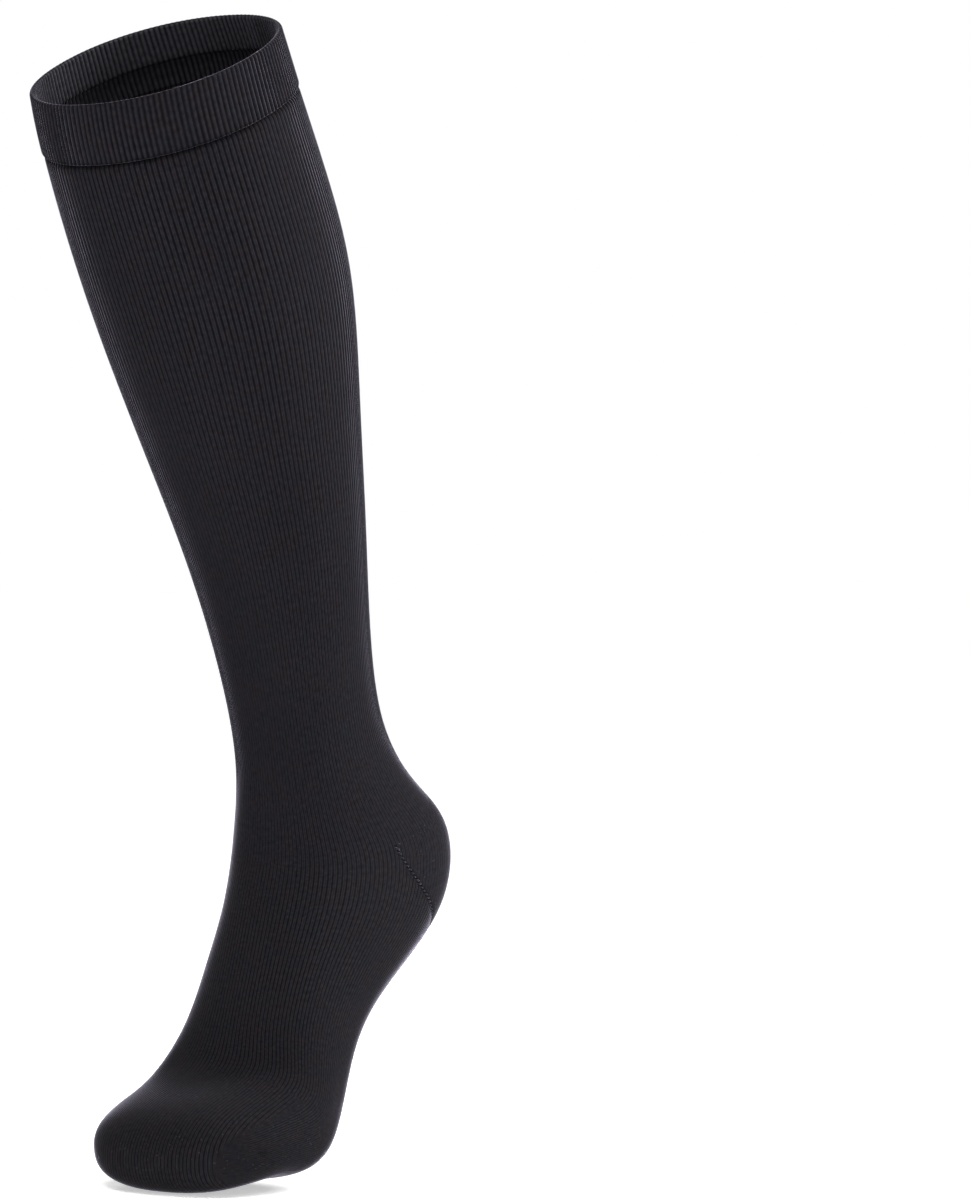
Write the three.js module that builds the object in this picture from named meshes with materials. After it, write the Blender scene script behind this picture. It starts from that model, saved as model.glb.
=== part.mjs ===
// Knee-high compression stocking, filled out in the shape of a leg on tiptoe, with nobody in it.
// Millimetres, +Z up. X runs across the leg and the toes point to -Y.
// The origin is the middle of the mouth, where the wearer's leg holds the stocking up, so the cloth hangs below it.
//
// The cloth is one tube knitted from the cuff to the toe: cuff, leg, heel pocket, foot and toe cap.
// Each is a thin wall with a plain inside, and a seam gap keeps neighbouring pieces apart.

import * as THREE from 'three';
import { mergeVertices } from 'three/addons/utils/BufferGeometryUtils.js';

// Driving dimensions: one row for each section of the filled-out tube, from the mouth to the tip of the toe.
// front and back are the section's two ends in the side view, as [forward of the ball of the foot, up from the
// level of the sole].
// The two fullness values shape the front and back halves: 2 is an ellipse, and more is squarer.
const SECTIONS = [
  { name: 'mouth',      front: [118, 459],  back: [15, 503],    halfWidth: 52.5, fullFront: 2.1, fullBack: 2.1 },
  { name: 'welt',       front: [110, 434],  back: [2, 479],     halfWidth: 53,   fullFront: 2.1, fullBack: 2.1 },
  { name: 'calf_high',  front: [93, 398],   back: [-18, 438],   halfWidth: 54,   fullFront: 2.1, fullBack: 2.2 },
  { name: 'calf',       front: [71, 356],   back: [-36, 394],   halfWidth: 52.5, fullFront: 2.1, fullBack: 2.2 },
  { name: 'calf_low',   front: [45, 308],   back: [-47, 340],   halfWidth: 45.5, fullFront: 2.1, fullBack: 2.2 },
  { name: 'shin',       front: [21, 263],   back: [-56, 289],   halfWidth: 38.5, fullFront: 2.1, fullBack: 2.2 },
  { name: 'shin_low',   front: [4, 219],    back: [-65, 242],   halfWidth: 32,   fullFront: 2.1, fullBack: 2.2 },
  { name: 'ankle_high', front: [-7, 177],   back: [-77, 199],   halfWidth: 30,   fullFront: 2.1, fullBack: 2.2 },
  { name: 'ankle',      front: [-9.5, 146], back: [-97, 171],   halfWidth: 36,   fullFront: 2.1, fullBack: 2.3 },
  { name: 'heel',       front: [-7, 131],   back: [-119, 149],  halfWidth: 40,   fullFront: 2.1, fullBack: 2.4 },
  { name: 'heel_low',   front: [-2, 115],   back: [-114, 113],  halfWidth: 40.5, fullFront: 2.1, fullBack: 2.4 },
  { name: 'instep',     front: [5, 93],     back: [-72, 80],    halfWidth: 39.5, fullFront: 2.1, fullBack: 2.4 },
  { name: 'arch',       front: [14, 66],    back: [-36, 49.5],  halfWidth: 41.5, fullFront: 2.1, fullBack: 2.5 },
  { name: 'ball',       front: [20, 50.5],  back: [1, 8.5],     halfWidth: 50.5, fullFront: 2.2, fullBack: 3.1 },
  { name: 'toes',       front: [36, 41.5],  back: [30, 1.4],    halfWidth: 51,   fullFront: 2.2, fullBack: 2.8 },
  { name: 'toe_front',  front: [57, 34],    back: [54, -1.6],   halfWidth: 43,   fullFront: 2.2, fullBack: 2.6 },
  { name: 'toe_round',  front: [70, 24],    back: [70, 2],      halfWidth: 25.5, fullFront: 2.2, fullBack: 2.3 },
  { name: 'toe_tip',    front: [75, 14],    back: [75, 14],     halfWidth: 0,    fullFront: 2.2, fullBack: 2.2 },
];

// Cloth thickness of each piece; the heel pocket and toe cap are knitted double yarn.
const LEG_WALL = 1.4;
const FOOT_WALL = 1.4;
const HEEL_WALL = 1.8;
const TOE_WALL = 1.8;

// Free space between neighbouring pieces, square to the seam.
const SEAM_GAP = 0.38;

// Cuff: a welt folded double, ribbed all round. It reaches from the first section to the second.
const CUFF_HEIGHT = 26;
const CUFF_RIBS = 144;
const RIB_HEIGHT = 0.6;
const CUFF_INSIDE_COLUMNS = 72;
// The cuff's own section, from its lower edge outside, over the rim, to its lower edge inside.
// down is measured from the rim, and out from the surface that the sections give.
const CUFF_PROFILE = [
  { down: 26,   out: -0.2, ribbed: true },
  { down: 25.1, out: 0.6,  ribbed: true },
  { down: 13,   out: 0.7,  ribbed: true },
  { down: 1.6,  out: 0.6,  ribbed: true },
  { down: 0.4,  out: 0.1,  ribbed: true },
  { down: 0,    out: -0.7, ribbed: false },
  { down: 0.4,  out: -1.5, ribbed: false },
  { down: 1.6,  out: -1.9, ribbed: false },
  { down: 26,   out: -1.9, ribbed: false },
];

// Columns of points round the leg, heel, foot and toe, and rows of points along each.
const COLUMNS = 40;
const LEG_ROWS = 17;
const HEEL_ROWS = 7;
const FOOT_ROWS = 10;
const TOE_ROWS = 9;

// Places along the tube are counted in sections: 0 is the mouth, 1 the welt, and so on down to the toe tip.
const WELT = 1;
const TOE_TIP = SECTIONS.length - 1;
const TOE_SEAM = 13.4;
// The heel pocket is a wedge let in at the back. Its two ends are at the sides, at HEEL_APEX along the tube.
// It reaches HEEL_ABOVE higher and HEEL_BELOW lower at the middle of the back, and HEEL_COLUMNS round each way.
// The upper seam runs straight. The lower one drops steeply from the ends and then flattens, by the power HEEL_DROP.
const HEEL_APEX = 8.8;
const HEEL_ABOVE = 0.9;
const HEEL_BELOW = 2.1;
const HEEL_DROP = 0.5;
const HEEL_COLUMNS = 11;
// How far the pocket's pointed ends stop short of the seam's corner, in columns.
const HEEL_END_MARGIN = 0.2;

const FULL_TURN = 2 * Math.PI;
const DIFFERENCE_STEP = 1e-3;

const COLOURS = { cuff: 0x232227, leg: 0x212025, heel: 0x28262b, foot: 0x222124, toe: 0x272529 };
const CLOTH_ROUGHNESS = 0.92;

// Natural cubic spline through values that stand one apart; returns a function of the place along them.
function naturalSpline(values) {
  const last = values.length - 1;
  const bend = new Array(values.length).fill(0);
  const carry = new Array(values.length).fill(0);
  for (let i = 1; i < last; i += 1) {
    const pivot = 4 - carry[i - 1];
    carry[i] = 1 / pivot;
    bend[i] = (6 * (values[i + 1] - 2 * values[i] + values[i - 1]) - bend[i - 1]) / pivot;
  }
  for (let i = last - 1; i > 0; i -= 1) bend[i] -= carry[i] * bend[i + 1];
  return (place) => {
    const i = Math.min(Math.max(Math.floor(place), 0), last - 1);
    const after = place - i;
    const before = 1 - after;
    const straight = before * values[i] + after * values[i + 1];
    return straight + ((before ** 3 - before) * bend[i] + (after ** 3 - after) * bend[i + 1]) / 6;
  };
}

const frontForward = naturalSpline(SECTIONS.map((row) => row.front[0]));
const frontUp = naturalSpline(SECTIONS.map((row) => row.front[1]));
const backForward = naturalSpline(SECTIONS.map((row) => row.back[0]));
const backUp = naturalSpline(SECTIONS.map((row) => row.back[1]));
const halfWidth = naturalSpline(SECTIONS.map((row) => row.halfWidth));
const fullFront = naturalSpline(SECTIONS.map((row) => row.fullFront));
const fullBack = naturalSpline(SECTIONS.map((row) => row.fullBack));

// The origin sits in the middle of the mouth.
const MOUTH_FORWARD = (SECTIONS[0].front[0] + SECTIONS[0].back[0]) / 2;
const MOUTH_UP = (SECTIONS[0].front[1] + SECTIONS[0].back[1]) / 2;

// A point of the stocking's outer form. turn is 0 at the front, a quarter turn at +X and half a turn at the back.
function formPoint(place, turn) {
  const cosine = Math.cos(turn);
  const sine = Math.sin(turn);
  const power = cosine > 0 ? fullFront(place) : fullBack(place);
  const radius = (Math.abs(cosine) ** power + Math.abs(sine) ** power) ** (-1 / power);
  const toFront = (1 + radius * cosine) / 2;
  const forward = backForward(place) + (frontForward(place) - backForward(place)) * toFront;
  const up = backUp(place) + (frontUp(place) - backUp(place)) * toFront;
  return new THREE.Vector3(halfWidth(place) * radius * sine, MOUTH_FORWARD - forward, up - MOUTH_UP);
}

// The form's outward direction; at the very tip of the toe it is straight ahead.
function formNormal(place, turn) {
  if (place > TOE_TIP - DIFFERENCE_STEP) return new THREE.Vector3(0, -1, 0);
  const before = Math.max(place - DIFFERENCE_STEP, 0);
  const along = formPoint(place + DIFFERENCE_STEP, turn).sub(formPoint(before, turn));
  const round = formPoint(place, turn + DIFFERENCE_STEP).sub(formPoint(place, turn - DIFFERENCE_STEP));
  return along.cross(round).normalize();
}

// A point of the cloth, out from the form by a distance; a negative distance lies inside it.
function clothPoint(place, turn, out) {
  return formPoint(place, turn).addScaledVector(formNormal(place, turn), out);
}

// Half of a seam's gap, turned into sections at that column. A seam that slants across the tube takes a longer
// step along it for the same free space.
function halfGap(seam, column) {
  const place = seam(column);
  const turn = turnOf(column);
  const reach = (a, b) => a.distanceTo(b) / (2 * DIFFERENCE_STEP);
  const along = reach(formPoint(place + DIFFERENCE_STEP, turn), formPoint(place - DIFFERENCE_STEP, turn));
  const round = reach(formPoint(place, turn + DIFFERENCE_STEP), formPoint(place, turn - DIFFERENCE_STEP));
  const drop = Math.max(Math.abs(seam(column + 1) - place), Math.abs(place - seam(column - 1)));
  const slant = (drop * along) / (round * turnOf(1));
  return (SEAM_GAP / 2) * Math.hypot(1, slant) / along;
}

// How near a column is to the middle of the back: 0 at the heel pocket's ends and beyond, 1 at the middle.
function heelShare(column) {
  return Math.max(0, 1 - Math.abs(column - COLUMNS / 2) / HEEL_COLUMNS);
}

const heelTop = (column) => HEEL_APEX - HEEL_ABOVE * heelShare(column);
const heelBottom = (column) => HEEL_APEX + HEEL_BELOW * heelShare(column) ** HEEL_DROP;

// Two rings of points joined by triangles. The first has as many points as the second, or a whole multiple.
function joinRings(first, second, closed, triangles) {
  const ratio = first.length / second.length;
  const half = Math.floor(ratio / 2);
  const steps = closed ? second.length : second.length - 1;
  for (let k = 0; k < steps; k += 1) {
    const next = (k + 1) % second.length;
    triangles.push([second[k], second[next], first[k * ratio + half]]);
    for (let s = 0; s < ratio; s += 1) {
      const corner = s < half ? second[k] : second[next];
      triangles.push([first[k * ratio + s], corner, first[(k * ratio + s + 1) % first.length]]);
    }
  }
}

// A solid bounded by rings of points, each joined to the next and the last to the first.
// Rings that shrink to one point close the solid there, and their empty triangles are dropped.
function solidFromRings(rings, closed) {
  const triangles = [];
  rings.forEach((ring, i) => {
    const next = rings[(i + 1) % rings.length];
    if (ring.length >= next.length) {
      joinRings(ring, next, closed, triangles);
    } else {
      const flipped = [];
      joinRings(next, ring, closed, flipped);
      flipped.forEach(([a, b, c]) => triangles.push([a, c, b]));
    }
  });
  const positions = triangles.flatMap((corners) => corners.flatMap((corner) => corner.toArray()));
  const loose = new THREE.BufferGeometry();
  loose.setAttribute('position', new THREE.Float32BufferAttribute(positions, 3));
  const solid = mergeVertices(loose, 1e-3);
  const index = Array.from(solid.getIndex().array);
  const kept = [];
  for (let i = 0; i < index.length; i += 3) {
    const [a, b, c] = index.slice(i, i + 3);
    if (a !== b && b !== c && c !== a) kept.push(a, b, c);
  }
  solid.setIndex(kept);
  solid.computeVertexNormals();
  return solid;
}

// A wall between two edges. Each edge is a function of the column that gives a place along the tube.
function clothWall({ from, to, rows, columns, wall, closed }) {
  const ring = (row, out) => columns.map((column) => {
    const place = from(column) + (to(column) - from(column)) * (row / rows);
    return clothPoint(place, turnOf(column), out);
  });
  const steps = Array.from({ length: rows + 1 }, (_, row) => row);
  const outside = steps.map((row) => ring(row, 0));
  const inside = steps.map((row) => ring(row, -wall)).reverse();
  return solidFromRings([...outside, ...inside], closed);
}

const ALL_ROUND = Array.from({ length: COLUMNS }, (_, column) => column);
const turnOf = (column) => (column / COLUMNS) * FULL_TURN;
const weltSeam = () => WELT;
const toeSeam = () => TOE_SEAM;

// A piece's own edge at a seam: half the gap below the seam, or half the gap above it.
const below = (seam) => (column) => seam(column) + halfGap(seam, column);
const above = (seam) => (column) => seam(column) - halfGap(seam, column);

// The ribbed band: its ribs are raised in the outer points only, over a plain inside.
function cuffGeometry() {
  const lowest = above(weltSeam)(0);
  const rings = CUFF_PROFILE.map(({ down, out, ribbed }) => {
    const place = (down / CUFF_HEIGHT) * lowest;
    const count = ribbed ? 2 * CUFF_RIBS : CUFF_INSIDE_COLUMNS;
    return Array.from({ length: count }, (_, column) => {
      const groove = ribbed && column % 2 === 1 ? RIB_HEIGHT : 0;
      return clothPoint(place, (column / count) * FULL_TURN, out - groove);
    });
  });
  return solidFromRings(rings.reverse(), true);
}

function legGeometry() {
  return clothWall({
    from: below(weltSeam),
    to: above(heelTop),
    rows: LEG_ROWS, columns: ALL_ROUND, wall: LEG_WALL, closed: true,
  });
}

// The pocket's pointed ends are drawn back a little, so that they clear the seam's corner.
function heelGeometry() {
  const middle = COLUMNS / 2;
  const columns = Array.from({ length: 2 * HEEL_COLUMNS + 1 }, (_, i) => middle - HEEL_COLUMNS + i);
  columns[0] += HEEL_END_MARGIN;
  columns[columns.length - 1] -= HEEL_END_MARGIN;
  const isEnd = (column) => !Number.isInteger(column);
  return clothWall({
    from: (column) => (isEnd(column) ? HEEL_APEX : below(heelTop)(column)),
    to: (column) => (isEnd(column) ? HEEL_APEX : above(heelBottom)(column)),
    rows: HEEL_ROWS, columns, wall: HEEL_WALL, closed: false,
  });
}

function footGeometry() {
  return clothWall({
    from: below(heelBottom),
    to: above(toeSeam),
    rows: FOOT_ROWS, columns: ALL_ROUND, wall: FOOT_WALL, closed: true,
  });
}

function toeGeometry() {
  return clothWall({
    from: below(toeSeam),
    to: () => TOE_TIP,
    rows: TOE_ROWS, columns: ALL_ROUND, wall: TOE_WALL, closed: true,
  });
}

const PIECES = { cuff: cuffGeometry, leg: legGeometry, heel: heelGeometry, foot: footGeometry, toe: toeGeometry };

const stocking = new THREE.Group();
for (const [name, makeGeometry] of Object.entries(PIECES)) {
  const material = new THREE.MeshStandardMaterial({ color: COLOURS[name], roughness: CLOTH_ROUGHNESS, metalness: 0 });
  const mesh = new THREE.Mesh(makeGeometry(), material);
  mesh.name = name;
  stocking.add(mesh);
}

export default stocking;
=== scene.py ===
"""Knee-high compression stocking: its knits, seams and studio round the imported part."""

import logging
import math
from dataclasses import dataclass, field
from enum import Enum
from typing import Callable, Sequence, Union

import bpy
import numpy as np
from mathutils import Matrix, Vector


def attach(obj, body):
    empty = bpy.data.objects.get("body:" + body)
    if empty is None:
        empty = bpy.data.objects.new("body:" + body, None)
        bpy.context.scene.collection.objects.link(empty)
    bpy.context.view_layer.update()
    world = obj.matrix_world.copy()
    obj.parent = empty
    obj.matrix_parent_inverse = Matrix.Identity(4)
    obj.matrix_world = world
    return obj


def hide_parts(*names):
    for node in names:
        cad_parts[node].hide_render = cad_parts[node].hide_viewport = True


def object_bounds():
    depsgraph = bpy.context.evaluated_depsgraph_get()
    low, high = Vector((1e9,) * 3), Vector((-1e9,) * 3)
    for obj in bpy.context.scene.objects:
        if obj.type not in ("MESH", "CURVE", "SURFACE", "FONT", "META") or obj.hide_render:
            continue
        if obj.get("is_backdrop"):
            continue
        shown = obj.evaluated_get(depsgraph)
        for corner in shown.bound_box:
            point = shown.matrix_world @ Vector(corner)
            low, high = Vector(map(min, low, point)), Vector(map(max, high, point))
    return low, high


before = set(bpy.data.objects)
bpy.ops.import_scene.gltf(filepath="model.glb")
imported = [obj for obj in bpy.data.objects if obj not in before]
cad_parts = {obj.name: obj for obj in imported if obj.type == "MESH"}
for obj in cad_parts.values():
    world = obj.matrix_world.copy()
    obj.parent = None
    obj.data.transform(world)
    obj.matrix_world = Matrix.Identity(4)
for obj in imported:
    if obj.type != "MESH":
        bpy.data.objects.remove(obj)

LOG = logging.getLogger("stocking")
MM = 1e-3
FULL_TURN = 2 * math.pi

Colour = tuple[float, float, float]
Grid = np.ndarray
Seam = Callable[[Grid], Grid]
OverCloth = Callable[[Grid, Grid], Grid]


@dataclass(frozen=True)
class Section:
    """One section of the filled-out tube, in millimetres.

    front and back are the section's ends in the side view, as (forward of the ball of the foot, up from the
    level of the sole).
    """

    name: str
    front: tuple[float, float]
    back: tuple[float, float]
    half_width: float
    full_front: float
    full_back: float


SECTIONS = (
    Section("mouth", (118, 459), (15, 503), 52.5, 2.1, 2.1),
    Section("welt", (110, 434), (2, 479), 53, 2.1, 2.1),
    Section("calf_high", (93, 398), (-18, 438), 54, 2.1, 2.2),
    Section("calf", (71, 356), (-36, 394), 52.5, 2.1, 2.2),
    Section("calf_low", (45, 308), (-47, 340), 45.5, 2.1, 2.2),
    Section("shin", (21, 263), (-56, 289), 38.5, 2.1, 2.2),
    Section("shin_low", (4, 219), (-65, 242), 32, 2.1, 2.2),
    Section("ankle_high", (-7, 177), (-77, 199), 30, 2.1, 2.2),
    Section("ankle", (-9.5, 146), (-97, 171), 36, 2.1, 2.3),
    Section("heel", (-7, 131), (-119, 149), 40, 2.1, 2.4),
    Section("heel_low", (-2, 115), (-114, 113), 40.5, 2.1, 2.4),
    Section("instep", (5, 93), (-72, 80), 39.5, 2.1, 2.4),
    Section("arch", (14, 66), (-36, 49.5), 41.5, 2.1, 2.5),
    Section("ball", (20, 50.5), (1, 8.5), 50.5, 2.2, 3.1),
    Section("toes", (36, 41.5), (30, 1.4), 51, 2.2, 2.8),
    Section("toe_front", (57, 34), (54, -1.6), 43, 2.2, 2.6),
    Section("toe_round", (70, 24), (70, 2), 25.5, 2.2, 2.3),
    Section("toe_tip", (75, 14), (75, 14), 0, 2.2, 2.2),
)

# Places along the tube are counted in sections: 0 is the mouth, 1 the welt, and so on down to the toe tip.
WELT = 1.0
TOE_SEAM = 13.4
TOE_TIP = float(len(SECTIONS) - 1)

# Wales: the lengthwise columns of stitches, counted all round. Two of them make one rib.
WALES = 288
RIBS = WALES // 2
COURSE = 0.95 * MM

# Points of a piece that lie nearer than this, in metres, are one.
SAME_POINT = 1e-7

# How far the floor lies below the lowest point of the solids.
FLOOR_GAP = 0.3 * MM


def smooth_step(low: float, high: float, x: Grid) -> Grid:
    """A soft step from 0 at low to 1 at high."""
    share = np.clip((x - low) / (high - low), 0, 1)
    return share * share * (3 - 2 * share)


def bell(away: Grid, width: float) -> Grid:
    """A soft hump: 1 where away is 0, and next to nothing from twice the width on."""
    return np.exp(-((away / width) ** 2))


def whole_turn(columns: int) -> Grid:
    """Angles from 0 to a whole turn, for that many columns of faces all round."""
    return np.arange(columns + 1) / columns * FULL_TURN


def run_along(line: Grid) -> Grid:
    """The length run at each point of a line of points."""
    return np.concatenate([[0], np.cumsum(np.linalg.norm(np.diff(line, axis=0), axis=1))])


def in_scene(name: str, data: bpy.types.ID) -> bpy.types.Object:
    """A new object with this data, linked to the scene."""
    thing = bpy.data.objects.new(name, data)
    bpy.context.scene.collection.objects.link(thing)
    return thing


def aim(thing: bpy.types.Object, ahead: Vector) -> None:
    """Turns a light or a camera to look ahead, with its top up."""
    thing.rotation_mode = "QUATERNION"
    thing.rotation_quaternion = ahead.to_track_quat("-Z", "Y")


@dataclass
class LegForm:
    """The filled-out shape that every piece of cloth follows, as the solids do.

    A place along the tube is counted in sections, and a turn round it is an angle from the front.
    """

    sections: tuple[Section, ...] = SECTIONS
    step: float = 1e-3
    length_places: int = 1701
    length_turns: int = 24
    rows: Grid = field(init=False)
    bends: Grid = field(init=False)
    mouth: Grid = field(init=False)
    fine: Grid = field(init=False)
    lengths: Grid = field(init=False)

    def __post_init__(self) -> None:
        """Reads the section table, and works out its splines and its mean length along the tube."""
        self.rows = np.array(
            [[*s.front, *s.back, s.half_width, s.full_front, s.full_back] for s in self.sections], float
        )
        count = len(self.rows)
        pull = np.eye(count)
        load = np.zeros_like(self.rows)
        for i in range(1, count - 1):
            pull[i, i - 1 : i + 2] = (1, 4, 1)
            load[i] = 6 * (self.rows[i + 1] - 2 * self.rows[i] + self.rows[i - 1])
        self.bends = np.linalg.solve(pull, load)
        self.mouth = (self.rows[0, :2] + self.rows[0, 2:4]) / 2
        self.fine = np.linspace(0, TOE_TIP, self.length_places)
        turns = np.linspace(0, FULL_TURN, self.length_turns, endpoint=False)
        rings = self.points(self.fine[:, None], turns[None, :])
        steps = np.linalg.norm(np.diff(rings, axis=0), axis=2).mean(1)
        self.lengths = np.concatenate([[0], np.cumsum(steps)])

    def values(self, place: Grid) -> Grid:
        """The section table's values at each place.

        Args:
            place: places along the tube.

        Returns:
            An array with one more axis, for the table's columns.
        """
        i = np.clip(np.floor(place).astype(int), 0, len(self.rows) - 2)
        after = (place - i)[..., None]
        before = 1 - after
        straight = before * self.rows[i] + after * self.rows[i + 1]
        bent = (before**3 - before) * self.bends[i] + (after**3 - after) * self.bends[i + 1]
        return straight + bent / 6

    def points(self, place: Grid, turn: Grid) -> Grid:
        """Points of the outer form, in metres.

        Args:
            place: places along the tube.
            turn: angles round it, of a shape that goes with place.

        Returns:
            An array of points, with x, y and z on the last axis.
        """
        place, turn = np.broadcast_arrays(np.asarray(place, float), np.asarray(turn, float))
        v = self.values(place)
        cosine, sine = np.cos(turn), np.sin(turn)
        power = np.where(cosine > 0, v[..., 5], v[..., 6])
        radius = (np.abs(cosine) ** power + np.abs(sine) ** power) ** (-1 / power)
        to_front = (1 + radius * cosine) / 2
        forward = v[..., 2] + (v[..., 0] - v[..., 2]) * to_front
        up = v[..., 3] + (v[..., 1] - v[..., 3]) * to_front
        return np.stack([v[..., 4] * radius * sine, self.mouth[0] - forward, up - self.mouth[1]], -1) * MM

    def normals(self, place: Grid, turn: Grid) -> Grid:
        """Outward directions of the form, one for each point; straight ahead at the toe's tip."""
        place, turn = np.broadcast_arrays(np.asarray(place, float), np.asarray(turn, float))
        last = TOE_TIP - 4 * self.step
        inner = np.clip(place, 0, last)
        along = self.points(inner + self.step, turn) - self.points(np.maximum(inner - self.step, 0), turn)
        around = self.points(inner, turn + self.step) - self.points(inner, turn - self.step)
        out = np.cross(along, around)
        out /= np.linalg.norm(out, axis=-1, keepdims=True)
        out[place > last] = (0, -1, 0)
        return out

    def cloth(self, place: Grid, turn: Grid, out: Grid) -> Grid:
        """Points at a distance out from the form, in metres; a negative distance lies inside it."""
        place, turn, out = np.broadcast_arrays(place, turn, out)
        return self.points(place, turn) + self.normals(place, turn) * out[..., None]

    def length_to(self, place: Grid) -> Grid:
        """The mean length along the tube from the mouth to each place, in metres."""
        return np.interp(place, self.fine, self.lengths)


@dataclass(frozen=True)
class HeelPocket:
    """The seams of the heel pocket: a wedge let in at the back, with its two ends at the sides.

    The seams lie above and under the ends' place, the apex. The lower one is a suture in a hollow with
    painted shade, which fades out under the heel: fade is where, as shares of the way to the middle of
    the back.
    """

    apex: float = 8.8
    above: float = 0.9
    under: float = 2.1
    drop: float = 0.5
    half_reach: float = math.radians(99)
    section_length: float = 30.0 * MM
    hollow_width: float = 1.2 * MM
    hollow_depth: float = 0.3 * MM
    hollow_shade: float = 0.7
    fade: tuple[float, float] = (0.45, 0.62)

    def share(self, turn: Grid) -> Grid:
        """How near a turn is to the middle of the back, from 0 at the pocket's ends and beyond to 1."""
        return np.clip(1 - np.abs(np.mod(turn, FULL_TURN) - math.pi) / self.half_reach, 0, 1)

    def top(self, turn: Grid) -> Grid:
        """The upper seam's place along the tube."""
        return self.apex - self.above * self.share(turn)

    def bottom(self, turn: Grid) -> Grid:
        """The lower seam's place along the tube."""
        return self.apex + self.under * self.share(turn) ** self.drop

    def hollow(self, place: Grid, turn: Grid) -> Grid:
        """How deep a point lies in the hollow of the suture, from 0 to 1."""
        share = self.share(turn)
        shown = smooth_step(0.0, 0.04, share) * (1 - smooth_step(*self.fade, share))
        return bell((place - self.bottom(turn)) * self.section_length, self.hollow_width) * shown

    def relief(self, place: Grid, turn: Grid) -> Grid:
        """The hollow's depth at a point, as a distance out from the form."""
        return -self.hollow_depth * self.hollow(place, turn)

    def painted_shade(self, place: Grid, turn: Grid) -> Grid:
        """How much painted shade darkens the cloth in the hollow at a point."""
        return self.hollow_shade * self.hollow(place, turn)


FORM = LegForm()
POCKET = HeelPocket()


@dataclass
class ClothGrid:
    """A closed wall of cloth as a grid: its rows run over the outside and back along the inside.

    knit holds wales and courses for each point, with one column more than points where the wall goes all
    round. marks holds numbers for each point by name: rib is the strength of the ribs, bold that of the fine
    wales, fold how much painted shade darkens the point in folds, seams and pits, and back is 1 on the
    cloth's inner face.
    """

    name: str
    points: Grid
    knit: Grid
    all_round: bool
    sharp_rows: Sequence[int]
    marks: dict[str, Grid]

    def build(self) -> bpy.types.Object:
        """Makes the mesh object, with its knit coordinates as a UV map and its marks as attributes.

        Returns:
            The new object, linked to the scene.
        """
        rows, columns = self.points.shape[:2]
        spans = columns if self.all_round else columns - 1
        r, c = np.meshgrid(np.arange(rows), np.arange(spans), indexing="ij")
        r_next, c_next = (r + 1) % rows, (c + 1) % columns
        here, below = r * columns, r_next * columns
        corners = np.stack([here + c, below + c, below + c_next, here + c_next], -1).reshape(-1, 4)
        knit = [self.knit[r, c], self.knit[r_next, c], self.knit[r_next, c + 1], self.knit[r, c + 1]]
        knit = np.stack(knit, -2).reshape(-1, 4, 2)
        flat = self.points.reshape(-1, 3)
        rounded = np.round(flat / SAME_POINT).astype(np.int64)
        _, first, merged = np.unique(rounded, axis=0, return_index=True, return_inverse=True)
        corners = merged.reshape(-1)[corners]
        places = flat[first]
        if self.volume(places, corners) < 0:
            corners, knit = corners[:, ::-1], knit[:, ::-1]
        faces, coordinates = self.tidy(corners, knit)
        mesh = bpy.data.meshes.new(self.name)
        mesh.from_pydata(places.tolist(), [], faces)
        uv = mesh.uv_layers.new(name="knit")
        uv.data.foreach_set("uv", coordinates.astype(np.float32).ravel())
        for name, mark in self.marks.items():
            values = np.broadcast_to(mark, (rows, columns)).reshape(-1)[first]
            kept = mesh.attributes.new(name, "FLOAT", "POINT")
            kept.data.foreach_set("value", values.astype(np.float32))
        mesh.shade_smooth()
        self.mark_sharp(mesh, first // columns)
        return in_scene(self.name, mesh)

    @staticmethod
    def volume(places: Grid, corners: Grid) -> float:
        """Six times the volume that the faces enclose, negative where they face inwards."""
        a, b, c, d = (places[corners[:, k]] for k in range(4))
        first = np.einsum("ij,ij->i", a, np.cross(b, c)).sum()
        return float(first + np.einsum("ij,ij->i", a, np.cross(c, d)).sum())

    @staticmethod
    def tidy(corners: Grid, knit: Grid) -> tuple[list[list[int]], Grid]:
        """Drops a face's repeated corners, where columns meet in one point.

        Args:
            corners: four point numbers for each face.
            knit: the wales and courses of each corner.

        Returns:
            The faces, and the knit coordinates of all their corners in order.
        """
        whole = np.ones(len(corners), bool)
        for k in range(4):
            whole &= corners[:, k] != corners[:, (k + 1) % 4]
        faces = corners[whole].tolist()
        parts = [knit[whole].reshape(-1, 2)]
        for face, values in zip(corners[~whole].tolist(), knit[~whole]):
            kept = [k for k in range(4) if face[k] != face[k - 1]]
            if len({face[k] for k in kept}) == 3:
                faces.append([face[k] for k in kept])
                parts.append(values[kept])
        return faces, np.concatenate(parts)

    def mark_sharp(self, mesh: bpy.types.Mesh, row_of: Grid) -> None:
        """Marks the edges that run along the sharp rows."""
        ends = np.empty(len(mesh.edges) * 2, np.int32)
        mesh.edges.foreach_get("vertices", ends)
        ends = ends.reshape(-1, 2)
        row, other_row = row_of[ends[:, 0]], row_of[ends[:, 1]]
        along = (row == other_row) & np.isin(row, list(self.sharp_rows))
        sharp = mesh.attributes.new("sharp_edge", "BOOLEAN", "EDGE")
        sharp.data.foreach_set("value", along)


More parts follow.
